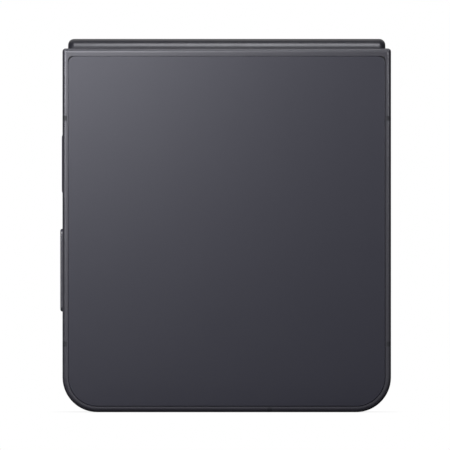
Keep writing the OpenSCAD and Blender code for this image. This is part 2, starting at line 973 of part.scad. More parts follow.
speaker_box_x = 8.6;
speaker_box_top = 14.2;
speaker_box_t = 3.5;
speaker_box_r = 1.2;
inner_gap = 0.3;

module loudspeaker() {
    color(plastic_dark)
        layer(mid_back + fit_gap, mid_back + speaker_box_t)
            round_rect(speaker_box_x, battery_reach, wall + inner_gap, speaker_box_top, speaker_box_r);
}

motor_x = -battery_reach;
motor_z = 5.8;
motor_w = 11;
motor_h = 8.6;
motor_r = 1.5;
// Thickness of the motor, the earpiece and the front camera
small_module_t = 2.6;

module vibration_motor() {
    color(foil)
        layer(mid_back + fit_gap, mid_back + small_module_t)
            round_rect(motor_x, motor_x + motor_w, motor_z, motor_z + motor_h, motor_r);
}

mic_w = 3.8;
mic_h = 2.8;
mic_t = 1.1;
mic_r = 0.3;

module microphone() {
    foot = wall + board_gap + fit_gap;
    color(steel)
        layer(board_back, board_back + mic_t)
            round_rect(-mic_x - mic_w / 2, -mic_x + mic_w / 2, foot, foot + mic_h, mic_r);
}

// Screws through an inner piece into the middle plate.
module screws(spots, seat) {
    color(steel)
        for (spot = spots)
            out_of_back(spot[0], spot[1], mid_front + fit_gap)
                union() {
                    cylinder(r = screw_r, h = seat - mid_front - fit_gap);
                    translate([0, 0, seat - mid_front - fit_gap])
                        cylinder(r = screw_head_r, h = screw_head_h);
                }
}

module lower_screws() {
    screws(arm_spots(1), mid_back + arm_t);
    screws(lower_board_spots, board_back);
}

// ---- Camera half ----

camera_x = camera_margin - body_w / 2;
camera_spots = [[camera_x, camera_z], [camera_x + camera_pitch, camera_z]];
flash_gap = 2.1;
flash_x = camera_x + camera_pitch + ring_r + flash_gap + flash_r;
ring_flange = 0.7;
ring_hole_r = ring_r - ring_flange;
earpiece_x = 4.9;
earpiece_w = 8.8;
earpiece_top = 5.7;
earpiece_r = 0.8;
upper_ribs = [upper_board_top + rib_room, top_rib];
upper_board_spots = [
    [-battery_reach, upper_board_top - board_screw_drop],
    [earpiece_x, upper_board_top - board_screw_drop],
    [earpiece_x + earpiece_w + screw_head_r + board_gap, earpiece_top]
];

module camera_holes(r) {
    for (spot = camera_spots)
        translate(spot) circle(r);
    translate([flash_x, camera_z]) circle(flash_r);
}

// Keys: how deep they sit, the room behind them, and the stems that reach the switches.
key_depth = 0.8;
key_room = key_travel + fit_gap;
stem_r = 0.5;
stem_ends = [0.25, 0.75];
stem_reach = wall + 0.2;
switch_t = 0.6;
switch_r = 1;
switch_front = stem_reach + key_room;

// Outside of the wall with the keys, at a height.
module at_key_side(z) {
    translate([-body_w / 2, -half_gap - middle_depth, z])
        rotate([0, 90, 0]) children();
}

module key_recess(z, length) {
    at_key_side(z + length / 2)
        translate([0, 0, -past])
            linear_extrude(key_depth + key_room + past)
                slot_shape(length + 2 * key_gap, key_t + 2 * key_gap);
    for (end = stem_ends)
        at_key_side(z + end * length)
            cylinder(r = stem_r + 2 * key_gap, h = screen_rim_w + past);
}

module tray_slots() {
    y = -half_gap - middle_depth;
    room = [tray_t / 2 + 2 * fit_gap, tray_w / 2 + 2 * fit_gap];
    translate([body_w / 2 - face_deep - fit_gap, y, tray_z])
        rotate([0, 90, 0])
            linear_extrude(past + face_deep + fit_gap)
                slot_shape(tray_len + 2 * fit_gap, tray_face_t + 2 * fit_gap);
    translate([body_w / 2 - screen_rim_w - past, y - room[0], tray_z - room[1]])
        cube([screen_rim_w + past, 2 * room[0], 2 * room[1]]);
}

tray_t = 0.9;
tray_w = 11;
tray_rim = 1;
sim_len = 12.5;
face_deep = 0.9;
eject_r = 0.4;
cage_t = 0.2;
cage_r = 0.3;
earpiece_slit = [9, 0.4];

module upper_frame() {
    color(metal_mid)
        camera_side()
            difference() {
                frame_body(-1, arm_spots(-1), upper_board_spots, upper_ribs);
                key_recess(side_key_z, side_key_len);
                key_recess(volume_key_z, volume_key_len);
                tray_slots();
                edge_hole(mic_x, mic_hole_r);
                layer(mid_front - past, mid_back + past) front_hole(front_hole_r + 2 * board_gap);
                layer(-past, mid_front)
                    translate([0, (inner_edge_r + bezel_inset) / 2])
                        slot_shape(earpiece_slit[0], earpiece_slit[1]);
            }
}

cover_screen_t = 0.4;
cover_screen_r = 2;

module cover_screen() {
    inset = back_rim_w + ledge_w + 2 * fit_gap;
    color(black)
        camera_side()
            layer(half_t - glass_t - cover_screen_t, half_t - glass_t)
                difference() {
                    half_plate(inset, glass_top - cover_margin, cover_screen_r);
                    camera_holes(ring_hole_r + 4 * fit_gap);
                }
}

module upper_battery() {
    camera_side() battery(upper_ribs, upper_battery_t);
}

module main_board() {
    color(board_green)
        camera_side()
            layer(board_front, board_back)
                difference() {
                    half_plate(switch_front + switch_t + fit_gap, upper_board_top, board_r);
                    for (spot = camera_spots)
                        translate(spot) square(camera_box_w + 2 * board_gap, center = true);
                    translate([0, front_camera_z])
                        square([front_box_w + 2 * board_gap, front_box_w + 2 * board_gap], center = true);
                    translate([earpiece_x - board_gap, 0])
                        square([earpiece_w + 2 * board_gap, earpiece_top + board_gap]);
                    screw_holes(upper_board_spots);
                }
}

can_h = 1.3;
can_wall = 0.2;
can_r = 0.6;
can_depth = 7;
can_drop = 5.4;
can_spans = [[camera_x - 0.4, -9], [-6.5, 2.5], [8, body_w / 2 - tray_deep - 3.2]];

// Thin metal lids over the chips of the main board.
module shield_cans() {
    z = upper_board_top - can_drop;
    color(foil)
        camera_side()
            for (x = can_spans)
                difference() {
                    layer(board_back, board_back + can_h)
                        round_rect(x[0], x[1], z - can_depth, z, can_r);
                    layer(board_back - past, board_back + can_h - can_wall)
                        round_rect(x[0] + can_wall, x[1] - can_wall,
                            z - can_depth + can_wall, z - can_wall, can_r - can_wall);
                }
}

front_box_w = 5.8;
camera_box_w = 9.6;
camera_box_t = 2.4;
barrel_gap = 0.2;
window_drop = 0.2;
ring_edge_r = 0.35;
ring_bore_r = 0.15;

module rear_camera(spot) {
    color(black)
        camera_side()
            out_of_back(spot[0], spot[1], mid_back + fit_gap) {
                linear_extrude(camera_box_t) square(camera_box_w, center = true);
                cylinder(r = barrel_r, h = half_t - mid_back - 3 * fit_gap);
            }
}

module camera_rings() {
    inner = barrel_r + barrel_gap;
    neck = ring_hole_r - fit_gap;
    color(metal_mid)
        camera_side()
            for (spot = camera_spots)
                out_of_back(spot[0], spot[1], half_t - glass_t)
                    rotate_extrude()
                        difference() {
                            union() {
                                translate([inner, 0]) square([neck - inner, glass_t]);
                                translate([inner, glass_t]) square([ring_r - inner, ring_h]);
                            }
                            translate([ring_r, glass_t + ring_h]) rotate(180) corner_cut(ring_edge_r);
                            translate([inner, glass_t + ring_h]) mirror([0, 1]) corner_cut(ring_bore_r);
                        }
}

module camera_windows() {
    color(glass_dark)
        camera_side()
            for (spot = camera_spots)
                out_of_back(spot[0], spot[1], half_t)
                    cylinder(r = barrel_r + barrel_gap - fit_gap, h = ring_h - window_drop);
}

module flash() {
    color(flash_white)
        camera_side()
            out_of_back(flash_x, camera_z, half_t - glass_t - cover_screen_t)
                cylinder(r = flash_r - fit_gap, h = glass_t + cover_screen_t);
}

module front_camera() {
    color(black)
        camera_side() {
            layer(mid_back + fit_gap, mid_back + small_module_t)
                translate([0, front_camera_z]) square(front_box_w, center = true);
            out_of_back(0, front_camera_z, screen_sink + screen_t)
                cylinder(r = front_hole_r - 2 * fit_gap, h = mid_back);
        }
}

module earpiece() {
    color(plastic_dark)
        camera_side()
            layer(mid_back + fit_gap, mid_back + small_module_t)
                round_rect(earpiece_x, earpiece_x + earpiece_w, wall + inner_gap, earpiece_top, earpiece_r);
}

module sim_tray() {
    y = -half_gap - middle_depth;
    inner = body_w / 2 - tray_deep;
    color(metal_mid)
        camera_side()
            difference() {
                union() {
                    translate([body_w / 2 - face_deep, y, tray_z])
                        rotate([0, 90, 0]) linear_extrude(face_deep) slot_shape(tray_len, tray_face_t);
                    translate([inner, y - tray_t / 2, tray_z - tray_w / 2])
                        cube([tray_deep - face_deep + fit_gap, tray_t, tray_w]);
                }
                translate([inner + tray_rim, y - tray_t, tray_z - tray_w / 2 + tray_rim])
                    cube([sim_len, 2 * tray_t, tray_w - 2 * tray_rim]);
                translate([body_w / 2 - face_deep - past, y, tray_z - (tray_len - tray_face_t) / 2])
                    rotate([0, 90, 0]) cylinder(r = eject_r, h = face_deep + 2 * past);
            }
}

module sim_cage() {
    y = -half_gap - middle_depth;
    room = tray_w / 2 + 2 * fit_gap;
    roof = middle_depth + tray_t / 2 + 2 * fit_gap;
    x0 = body_w / 2 - tray_deep - tray_rim;
    x1 = body_w / 2 - screen_rim_w - board_gap;
    color(steel)
        camera_side()
            difference() {
                layer(board_back, roof + cage_t)
                    round_rect(x0, x1, tray_z - room - cage_t, tray_z + room + cage_t, cage_r);
                translate([x0 + cage_t, -half_gap - roof, tray_z - room])
                    cube([tray_deep + past, roof, 2 * room]);
            }
}

module key(z, length, out) {
    color(metal_mid)
        camera_side() {
            at_key_side(z + length / 2)
                translate([0, 0, -out])
                    linear_extrude(out + key_depth) slot_shape(length, key_t);
            for (end = stem_ends)
                at_key_side(z + end * length) cylinder(r = stem_r, h = stem_reach);
        }
}

module side_key() {
    key(side_key_z, side_key_len, side_key_out);
}

// The long key rocks on a round rib across the middle of its back.
module volume_key() {
    key(volume_key_z, volume_key_len, volume_key_out);
    color(metal_mid)
        camera_side()
            at_key_side(volume_key_z + volume_key_len / 2)
                translate([0, key_t / 2, key_depth])
                    rotate([90, 0, 0]) cylinder(r = key_room - rock_gap, h = key_t);
}

rock_gap = 0.02;

// Small dome switches on a strip beside the wall, one behind each stem.
module key_switches() {
    x = switch_front - body_w / 2;
    y = -half_gap - middle_depth;
    color(steel)
        camera_side()
            for (key = [[side_key_z, side_key_len], [volume_key_z, volume_key_len]]) {
                translate([x + switch_t / 2, y - switch_r, key[0] + key[1] / 8])
                    cube([switch_t / 2, 2 * switch_r, 3 / 4 * key[1]]);
                for (end = stem_ends)
                    translate([x, y, key[0] + end * key[1]])
                        rotate([0, 90, 0]) cylinder(r = 0.9 * switch_r, h = 2 / 3 * switch_t);
            }
}

module upper_screws() {
    camera_side() {
        screws(arm_spots(-1), mid_back + arm_t);
        screws(upper_board_spots, board_back);
    }
}

lower_frame();
antenna_breaks();  // lower_antenna_breaks
back_glass(false);  // lower_back_glass
glass_adhesive();  // lower_glass_adhesive
bezel();  // lower_bezel
main_screen(0);  // main_screen_lower
screen_support(0);  // lower_screen_support
lower_battery();
ferrite_sheet();
charging_coil();
sub_board();
usb_c_socket();
loudspeaker();
vibration_motor();
microphone();
lower_screws();
arm(-1, 1);  // lower_arm_left
arm(1, 1);  // lower_arm_right
spine_cover();
hinge_bracket(-1);  // hinge_bracket_left
hinge_bracket(1);  // hinge_bracket_right
gear_pins();
sync_gear(outer_teeth, outer_y, outer_z, outer_phase);  // sync_gear_1
sync_gear(inner_teeth, inner_y, inner_z, inner_phase);  // sync_gear_2
sync_gear(inner_teeth, -inner_y, inner_z, 180 - inner_phase + 180 / inner_teeth);  // sync_gear_3
sync_gear(outer_teeth, -outer_y, outer_z, 180 - outer_phase + 180 / outer_teeth);  // sync_gear_4
main_screen_fold();
upper_frame();
camera_side() antenna_breaks();  // upper_antenna_breaks
camera_side() back_glass(true);  // cover_glass
camera_side() glass_adhesive();  // cover_glass_adhesive
cover_screen();
camera_side() bezel();  // upper_bezel
camera_side() main_screen(front_hole_r);  // main_screen_upper
camera_side() screen_support(front_hole_r);  // upper_screen_support
upper_battery();
main_board();
shield_cans();
rear_camera(camera_spots[0]);  // rear_camera_outer
rear_camera(camera_spots[1]);  // rear_camera_inner
camera_rings();
camera_windows();
flash();
front_camera();
earpiece();
sim_tray();
sim_cage();
side_key();
volume_key();
key_switches();
upper_screws();
camera_side() arm(-1, -1);  // upper_arm_left
camera_side() arm(1, -1);  // upper_arm_right
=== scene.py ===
import json
import math

import bmesh
import bpy
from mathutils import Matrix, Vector


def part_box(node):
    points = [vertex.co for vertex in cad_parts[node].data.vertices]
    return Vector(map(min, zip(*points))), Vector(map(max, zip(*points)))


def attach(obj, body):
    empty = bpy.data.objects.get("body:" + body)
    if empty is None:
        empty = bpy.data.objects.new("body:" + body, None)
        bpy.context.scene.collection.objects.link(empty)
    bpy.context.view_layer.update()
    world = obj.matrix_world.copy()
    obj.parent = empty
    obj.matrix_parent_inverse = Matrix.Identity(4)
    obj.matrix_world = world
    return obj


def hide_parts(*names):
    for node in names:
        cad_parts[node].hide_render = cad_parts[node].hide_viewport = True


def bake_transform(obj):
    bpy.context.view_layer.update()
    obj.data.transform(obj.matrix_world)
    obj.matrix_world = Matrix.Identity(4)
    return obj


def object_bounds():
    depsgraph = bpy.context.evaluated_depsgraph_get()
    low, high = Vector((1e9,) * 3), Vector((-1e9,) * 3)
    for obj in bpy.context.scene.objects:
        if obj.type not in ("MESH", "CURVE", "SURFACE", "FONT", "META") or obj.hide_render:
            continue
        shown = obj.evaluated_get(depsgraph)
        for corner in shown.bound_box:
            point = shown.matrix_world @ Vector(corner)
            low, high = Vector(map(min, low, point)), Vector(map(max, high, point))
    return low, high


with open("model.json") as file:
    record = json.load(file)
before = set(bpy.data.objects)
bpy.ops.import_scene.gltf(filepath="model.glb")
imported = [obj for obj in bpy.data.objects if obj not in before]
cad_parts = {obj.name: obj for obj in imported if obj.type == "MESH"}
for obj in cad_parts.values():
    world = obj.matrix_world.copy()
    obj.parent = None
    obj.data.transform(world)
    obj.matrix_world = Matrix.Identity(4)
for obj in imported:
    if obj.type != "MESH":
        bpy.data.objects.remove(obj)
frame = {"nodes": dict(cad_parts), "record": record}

mm = 0.001
touch = 0.001 * mm  # places nearer than this count as one
quarterTurn = math.radians(90)
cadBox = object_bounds()
cadMiddle = (cadBox[0] + cadBox[1]) / 2
nodes = frame["nodes"]
slotOfNode = {part["node"]: part["material_slot"] for part in frame["record"]["subparts"]}
print("frame loaded:", len(nodes), "nodes")


# shader helpers

def emptyTree(owner, outputKind):
    owner.use_nodes = True
    tree = owner.node_tree
    tree.nodes.clear()
    return tree, tree.nodes.new(outputKind)


def setInputs(node, values):
    for label, value in values.items():
        node.inputs[label].default_value = value


def newGroup(name, inputs, outputs):
    group = bpy.data.node_groups.new(name, "ShaderNodeTree")
    for label, kind, value in inputs:
        socket = group.interface.new_socket(name=label, in_out="INPUT", socket_type=kind)
        socket.default_value = value
    for label, kind in outputs:
        group.interface.new_socket(name=label, in_out="OUTPUT", socket_type=kind)
    return group, group.nodes.new("NodeGroupInput"), group.nodes.new("NodeGroupOutput")


def mathNode(tree, operation, first, second=0):
    node = tree.nodes.new("ShaderNodeMath")
    node.operation = operation
    for socket, value in zip(node.inputs, (first, second)):
        if isinstance(value, (int, float)):
            socket.default_value = value
        else:
            tree.links.new(value, socket)
    return node.outputs[0]


def valueBand(tree, value, low, high, first, last):
    # runs from first to last while the value runs from low to high
    band = tree.nodes.new("ShaderNodeMapRange")
    setInputs(band, {"From Min": low, "From Max": high, "To Min": first, "To Max": last})
    tree.links.new(value, band.inputs["Value"])
    return band.outputs["Result"]


def axisParts(tree, vector):
    parts = tree.nodes.new("ShaderNodeSeparateXYZ")
    tree.links.new(vector, parts.inputs["Vector"])
    return parts.outputs


def lengthOf(tree, first, second):
    squares = [mathNode(tree, "MULTIPLY", value, value) for value in (first, second)]
    return mathNode(tree, "SQRT", mathNode(tree, "ADD", *squares))


# patterns that several finishes share

variationLook = {
    "noiseRoughness": 0.55,
    "grainDetail": 2,
    "patchDetail": 3,
    "grainShare": 0.4,  # the rest comes from the patches
}


def noiseNode(tree, vector, scale, detail):
    node = tree.nodes.new("ShaderNodeTexNoise")
    setInputs(node, {"Detail": detail, "Roughness": variationLook["noiseRoughness"]})
    tree.links.new(vector, node.inputs["Vector"])
    tree.links.new(scale, node.inputs["Scale"])
    return node.outputs["Fac"]


def buildSurfaceGroup():
    # fine grain and broad patches that shift the colour and the roughness a little
    group, given, result = newGroup(
        "surfaceVariation",
        [("Vector", "NodeSocketVector", (0, 0, 0)),
         ("Color", "NodeSocketColor", (0.5, 0.5, 0.5, 1)),
         ("Tone Shift", "NodeSocketFloat", 0.1),
         ("Roughness", "NodeSocketFloat", 0.4),
         ("Roughness Shift", "NodeSocketFloat", 0.1),
         ("Grain Scale", "NodeSocketFloat", 4000.0),
         ("Patch Scale", "NodeSocketFloat", 40.0)],
        [("Color", "NodeSocketColor"), ("Roughness", "NodeSocketFloat"),
         ("Height", "NodeSocketFloat")])
    point = given.outputs["Vector"]
    grain = noiseNode(group, point, given.outputs["Grain Scale"], variationLook["grainDetail"])
    patch = noiseNode(group, point, given.outputs["Patch Scale"], variationLook["patchDetail"])
    share = variationLook["grainShare"]
    mixed = mathNode(group, "ADD", mathNode(group, "MULTIPLY", grain, share),
                     mathNode(group, "MULTIPLY", patch, 1 - share))
    centred = mathNode(group, "SUBTRACT", mixed, 0.5)
    tone = mathNode(group, "MULTIPLY", centred, given.outputs["Tone Shift"])
    scaled = group.nodes.new("ShaderNodeVectorMath")
    scaled.operation = "SCALE"
    group.links.new(given.outputs["Color"], scaled.inputs["Vector"])
    group.links.new(mathNode(group, "ADD", tone, 1), scaled.inputs["Scale"])
    shift = mathNode(group, "MULTIPLY", centred, given.outputs["Roughness Shift"])
    rough = mathNode(group, "ADD", shift, given.outputs["Roughness"])
    group.links.new(scaled.outputs["Vector"], result.inputs["Color"])
    group.links.new(rough, result.inputs["Roughness"])
    group.links.new(grain, result.inputs["Height"])
    return group


windowLook = {"edgeSharpness": 12000}  # per metre: the edge fades over a twelfth of a millimetre


def buildWindowGroup():
    # a rounded rectangle across Y: 1 inside, 0 outside
    group, given, result = newGroup(
        "roundedWindow",
        [("Vector", "NodeSocketVector", (0, 0, 0)), ("Half Width", "NodeSocketFloat", 0.03),
         ("Half Height", "NodeSocketFloat", 0.03), ("Radius", "NodeSocketFloat", 0.003)],
        [("Mask", "NodeSocketFloat")])
    parts = axisParts(group, given.outputs["Vector"])
    over = []
    for axis, half in (("X", "Half Width"), ("Z", "Half Height")):
        inner = mathNode(group, "SUBTRACT", given.outputs[half], given.outputs["Radius"])
        beyond = mathNode(group, "SUBTRACT", mathNode(group, "ABSOLUTE", parts[axis]), inner)
        over.append(mathNode(group, "MAXIMUM", beyond))
    gap = mathNode(group, "SUBTRACT", given.outputs["Radius"], lengthOf(group, *over))
    softened = mathNode(group, "MULTIPLY", gap, windowLook["edgeSharpness"])
    clamp = group.nodes.new("ShaderNodeClamp")
    group.links.new(mathNode(group, "ADD", softened, 0.5), clamp.inputs["Value"])
    group.links.new(clamp.outputs["Result"], result.inputs["Mask"])
    return group


def buildTurnsGroup():
    # round turns about Y, as of a flat wound coil
    group, given, result = newGroup(
        "coilTurns",
        [("Vector", "NodeSocketVector", (0, 0, 0)), ("Pitch", "NodeSocketFloat", 0.0005)],
        [("Height", "NodeSocketFloat")])
    parts = axisParts(group, given.outputs["Vector"])
    away = lengthOf(group, parts["X"], parts["Z"])
    turns = mathNode(group, "DIVIDE", away, given.outputs["Pitch"])
    halfWave = mathNode(group, "MULTIPLY", mathNode(group, "FRACT", turns), math.pi)
    group.links.new(mathNode(group, "SINE", halfWave), result.inputs["Height"])
    return group


boardLook = {"jitter": 0.8, "paleFrom": 0.62, "raisedWithin": 0.42}


def buildTracesGroup():
    # small right-angled patches, as of the tracks and parts on a circuit board
    group, given, result = newGroup(
        "boardTraces",
        [("Vector", "NodeSocketVector", (0, 0, 0)), ("Scale", "NodeSocketFloat", 900.0)],
        [("Mask", "NodeSocketFloat"), ("Height", "NodeSocketFloat")])
    cells = group.nodes.new("ShaderNodeTexVoronoi")
    cells.distance = "CHEBYCHEV"
    setInputs(cells, {"Randomness": boardLook["jitter"]})
    group.links.new(given.outputs["Vector"], cells.inputs["Vector"])
    group.links.new(given.outputs["Scale"], cells.inputs["Scale"])
    shade = group.nodes.new("ShaderNodeSeparateColor")
    group.links.new(cells.outputs["Color"], shade.inputs["Color"])
    pale = mathNode(group, "GREATER_THAN", shade.outputs[0], boardLook["paleFrom"])
    raised = mathNode(group, "LESS_THAN", cells.outputs["Distance"], boardLook["raisedWithin"])
    group.links.new(pale, result.inputs["Mask"])
    group.links.new(raised, result.inputs["Height"])
    return group


surfaceGroup = buildSurfaceGroup()
windowGroup = buildWindowGroup()
turnsGroup = buildTurnsGroup()
tracesGroup = buildTracesGroup()


# finishes

def objectPoints(tree, stretch=(1, 1, 1), centre=None):
    place = tree.nodes.new("ShaderNodeTexCoord")
    mapping = tree.nodes.new("ShaderNodeMapping")
    setInputs(mapping, {"Scale": stretch})
    if centre:
        setInputs(mapping, {"Location": -centre})
    tree.links.new(place.outputs["Object"], mapping.inputs["Vector"])
    return mapping.outputs["Vector"]


def mixColors(tree, mask, first, second):
    mix = tree.nodes.new("ShaderNodeMix")
    mix.data_type = "RGBA"
    tree.links.new(mask, mix.inputs["Factor"])
    tree.links.new(first, mix.inputs["A"])
    mix.inputs["B"].default_value = (*second, 1)
    return mix.outputs["Result"]


def addBump(tree, shader, height, distance, strength):
    bump = tree.nodes.new("ShaderNodeBump")
    setInputs(bump, {"Strength": strength, "Distance": distance})
    tree.links.new(height, bump.inputs["Height"])
    tree.links.new(bump.outputs["Normal"], shader.inputs["Normal"])


def addPattern(tree, shader, color, look):
    # a shape of its own over the plain variation: a display area, coil turns or board parts
    low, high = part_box(look["around"])
    pattern = tree.nodes.new("ShaderNodeGroup")
    pattern.node_tree = look["pattern"]
    tree.links.new(objectPoints(tree, centre=(low + high) / 2), pattern.inputs["Vector"])
    setInputs(pattern, look["values"])
    if "Mask" in pattern.outputs:
        mixed = mixColors(tree, pattern.outputs["Mask"], color, look["second"])
        tree.links.new(mixed, shader.inputs["Base Color"])
    if "Height" in pattern.outputs:
        addBump(tree, shader, pattern.outputs["Height"], look["bump"], look["patternStrength"])


plainFinish = {  # what a finish has where it says nothing else
    "metallic": 0,
    "ior": 1.5,
    "tint": (1, 1, 1),
    "coat": 0,
    "coatRoughness": 0.03,
    "toneShift": 0.2,
    "roughnessShift": 0.15,
    "grainScale": 6000,  # per metre
    "patchScale": 60,
    "stretch": (1, 1, 1),
    "bump": 0,
    "grainStrength": 0.5,
    "pattern": None,
    "patternStrength": 0.6,
}


def makeFinish(name, ownLook):
    look = {**plainFinish, **ownLook}
    material = bpy.data.materials.new(name)
    tree, output = emptyTree(material, "ShaderNodeOutputMaterial")
    shader = tree.nodes.new("ShaderNodeBsdfPrincipled")
    tree.links.new(shader.outputs["BSDF"], output.inputs["Surface"])
    vary = tree.nodes.new("ShaderNodeGroup")
    vary.node_tree = surfaceGroup
    setInputs(vary, {
        "Color": (*look["color"], 1),
        "Tone Shift": look["toneShift"],
        "Roughness": look["roughness"],
        "Roughness Shift": look["roughnessShift"],
        "Grain Scale": look["grainScale"],
        "Patch Scale": look["patchScale"],
    })
    tree.links.new(objectPoints(tree, look["stretch"]), vary.inputs["Vector"])
    tree.links.new(vary.outputs["Color"], shader.inputs["Base Color"])
    tree.links.new(vary.outputs["Roughness"], shader.inputs["Roughness"])
    if look["pattern"]:
        addPattern(tree, shader, vary.outputs["Color"], look)
    elif look["bump"]:
        addBump(tree, shader, vary.outputs["Height"], look["bump"], look["grainStrength"])
    setInputs(shader, {
        "Metallic": look["metallic"],
        "IOR": look["ior"],
        "Specular Tint": (*look["tint"], 1),
        "Coat Weight": look["coat"],
        "Coat Roughness": look["coatRoughness"],
    })
    return material


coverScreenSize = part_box("cover_screen")[1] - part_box("cover_screen")[0]
finishes = {
    "frame_metal": dict(color=(0.0168, 0.0163, 0.0215), tint=(0.93, 0.93, 1), ior=1.555,
                        roughness=0.3, bump=0.0015 * mm, grainScale=9000),
    "antenna_plastic": dict(color=(0.012, 0.0125, 0.016), roughness=0.5, ior=1.3,
                            bump=0.003 * mm),
    "back_glass": dict(color=(0.0023, 0.0023, 0.0078), tint=(0.92, 0.92, 1), ior=1.563,
                       roughness=0.338, roughnessShift=0.03, toneShift=0.08,
                       bump=0.0015 * mm, grainScale=12000),
    "cover_glass": dict(color=(0.012, 0.0125, 0.015), roughness=0.06, roughnessShift=0.12,
                        toneShift=0.3, coat=1, pattern=windowGroup, around="cover_screen",
                        second=(0.0045, 0.005, 0.009),
                        values={"Half Width": coverScreenSize.x / 2,
                                "Half Height": coverScreenSize.z / 2}),
    "adhesive": dict(color=(0.02, 0.02, 0.022), roughness=0.7),
    "bezel_rubber": dict(color=(0.018, 0.018, 0.02), roughness=0.55, bump=0.004 * mm),
    "main_screen": dict(color=(0.006, 0.0065, 0.009), roughness=0.12, roughnessShift=0.1,
                        coat=0.6),
    "support_steel": dict(color=(0.5, 0.5, 0.52), metallic=1, roughness=0.35,
                          stretch=(1, 1, 14)),
    "battery_wrap": dict(color=(0.022, 0.022, 0.025), roughness=0.38, bump=0.01 * mm,
                         grainScale=2500),
    "ferrite": dict(color=(0.03, 0.031, 0.035), roughness=0.6, bump=0.006 * mm),
    "coil_copper": dict(color=(0.72, 0.36, 0.2), metallic=1, roughness=0.3, toneShift=0.3,
                        pattern=turnsGroup, around="charging_coil",
                        values={"Pitch": 0.5 * mm}, bump=0.06 * mm),
    "circuit_board": dict(color=(0.012, 0.045, 0.03), roughness=0.4, pattern=tracesGroup,
                          around="main_board", second=(0.16, 0.17, 0.14),
                          values={"Scale": 900}, bump=0.05 * mm),
    "port_steel": dict(color=(0.42, 0.42, 0.44), metallic=1, roughness=0.28),
    "module_plastic": dict(color=(0.02, 0.02, 0.022), roughness=0.5, bump=0.006 * mm),
    "module_steel": dict(color=(0.45, 0.45, 0.47), metallic=1, roughness=0.3,
                         stretch=(1, 1, 10)),
    "hinge_steel": dict(color=(0.4, 0.4, 0.42), metallic=1, roughness=0.3, stretch=(8, 1, 1)),
    "screw_steel": dict(color=(0.35, 0.35, 0.37), metallic=1, roughness=0.25),
    "spine_metal": dict(color=(0.0095, 0.0092, 0.0125), tint=(0.93, 0.93, 1), ior=1.576,
                        roughness=0.31, bump=0.0015 * mm, grainScale=9000),
    "cover_screen": dict(color=(0.004, 0.004, 0.006), roughness=0.12, toneShift=0.4),
    "camera_black": dict(color=(0.01, 0.01, 0.011), roughness=0.4, bump=0.003 * mm),
    "ring_metal": dict(color=(0.09, 0.093, 0.108), metallic=1, roughness=0.18),
    "lens_glass": dict(color=(0.012, 0.008, 0.03), roughness=0.03, roughnessShift=0.02,
                       toneShift=1.2, patchScale=260, coat=1, ior=1.9),
    "lens_baffle": dict(color=(0.006, 0.006, 0.007), roughness=0.16, roughnessShift=0.08,
                        coat=1, coatRoughness=0.02),
    "gold_plate": dict(color=(0.75, 0.52, 0.2), metallic=1, roughness=0.25),
    "fine_mesh": dict(color=(0.09, 0.09, 0.1), metallic=1, roughness=0.35, bump=0.05 * mm,
                      grainScale=14000),
    "flash_lens": dict(color=(0.75, 0.72, 0.6), roughness=0.2, coat=0.5),
    # the keys' metal is made about twice as light as the frame's metal, as a painted highlight
    # on the keys
    "key_metal": dict(color=(0.034, 0.033, 0.045), ior=1.6, roughness=0.3,
                      bump=0.0015 * mm, grainScale=9000),
    "tray_metal": dict(color=(0.0168, 0.0163, 0.0215), tint=(0.93, 0.93, 1), ior=1.555,
                       roughness=0.32, bump=0.002 * mm, grainScale=9000),
}
materials = {name: makeFinish(name, look) for name, look in finishes.items()}


def paint(piece, material):
    piece.data.materials.clear()
    piece.data.materials.append(material)


for name, piece in nodes.items():
    paint(piece, materials[slotOfNode[name]])
print("finishes made:", len(materials))


# modelling helpers

def deselectAll():
    bpy.ops.object.select_all(action="DESELECT")


def activate(piece):
    deselectAll()
    piece.select_set(True)
    bpy.context.view_layer.objects.active = piece


def applyPlace():
    bpy.ops.object.transform_apply(location=True, rotation=True, scale=True)


def newPiece(name):
    # the primitive just added gets its name, and its place goes into its mesh
    piece = bpy.context.object
    piece.name = name
    applyPlace()
    return piece


def addBlock(name, low, high):
    deselectAll()
    bpy.ops.mesh.primitive_cube_add(size=1, location=(low + high) / 2, scale=high - low)
    return newPiece(name)


def openEdit(kind, select="DESELECT"):
    bpy.ops.object.mode_set(mode="EDIT")
    bpy.ops.mesh.select_mode(type=kind)
    bpy.ops.mesh.select_all(action=select)


def closeEdit():
    bpy.ops.object.mode_set(mode="OBJECT")


def extrude(move):
    bpy.ops.mesh.extrude_region_move(TRANSFORM_OT_translate={"value": move})


def faceOutwards():
    openEdit("FACE", "SELECT")
    bpy.ops.mesh.normals_make_consistent(inside=False)
    closeEdit()


def selectFaces(piece, direction, nearness=0.9):
    # opens the mesh and selects the faces that look in a direction
    openEdit("FACE")
    mesh = bmesh.from_edit_mesh(piece.data)
    for face in mesh.faces:
        face.select_set(face.normal.dot(direction) > nearness)
    bmesh.update_edit_mesh(piece.data)


def bevelEdges(piece, test, width, segments):
    openEdit("EDGE")
    mesh = bmesh.from_edit_mesh(piece.data)
    for edge in mesh.edges:
        if test(edge.verts[0].co, edge.verts[1].co):
            edge.select_set(True)
    mesh.select_flush_mode()
    bmesh.update_edit_mesh(piece.data)
    bpy.ops.mesh.bevel(offset=width, segments=segments, affect="EDGES")
    closeEdit()


def along(axis):
    # picks the edges that run along one axis
    others = [i for i in range(3) if i != axis]
    return lambda a, b: all(abs(a[i] - b[i]) < touch for i in others)


def bothAt(axis, value):
    # picks the edges that lie in one plane across an axis
    return lambda a, b: abs(a[axis] - value) < touch and abs(b[axis] - value) < touch


def farCorners(a, b):
    # picks the edges along Y in the half of a panel that is far from the hinge
    return along(1)(a, b) and a.z < cadMiddle.z


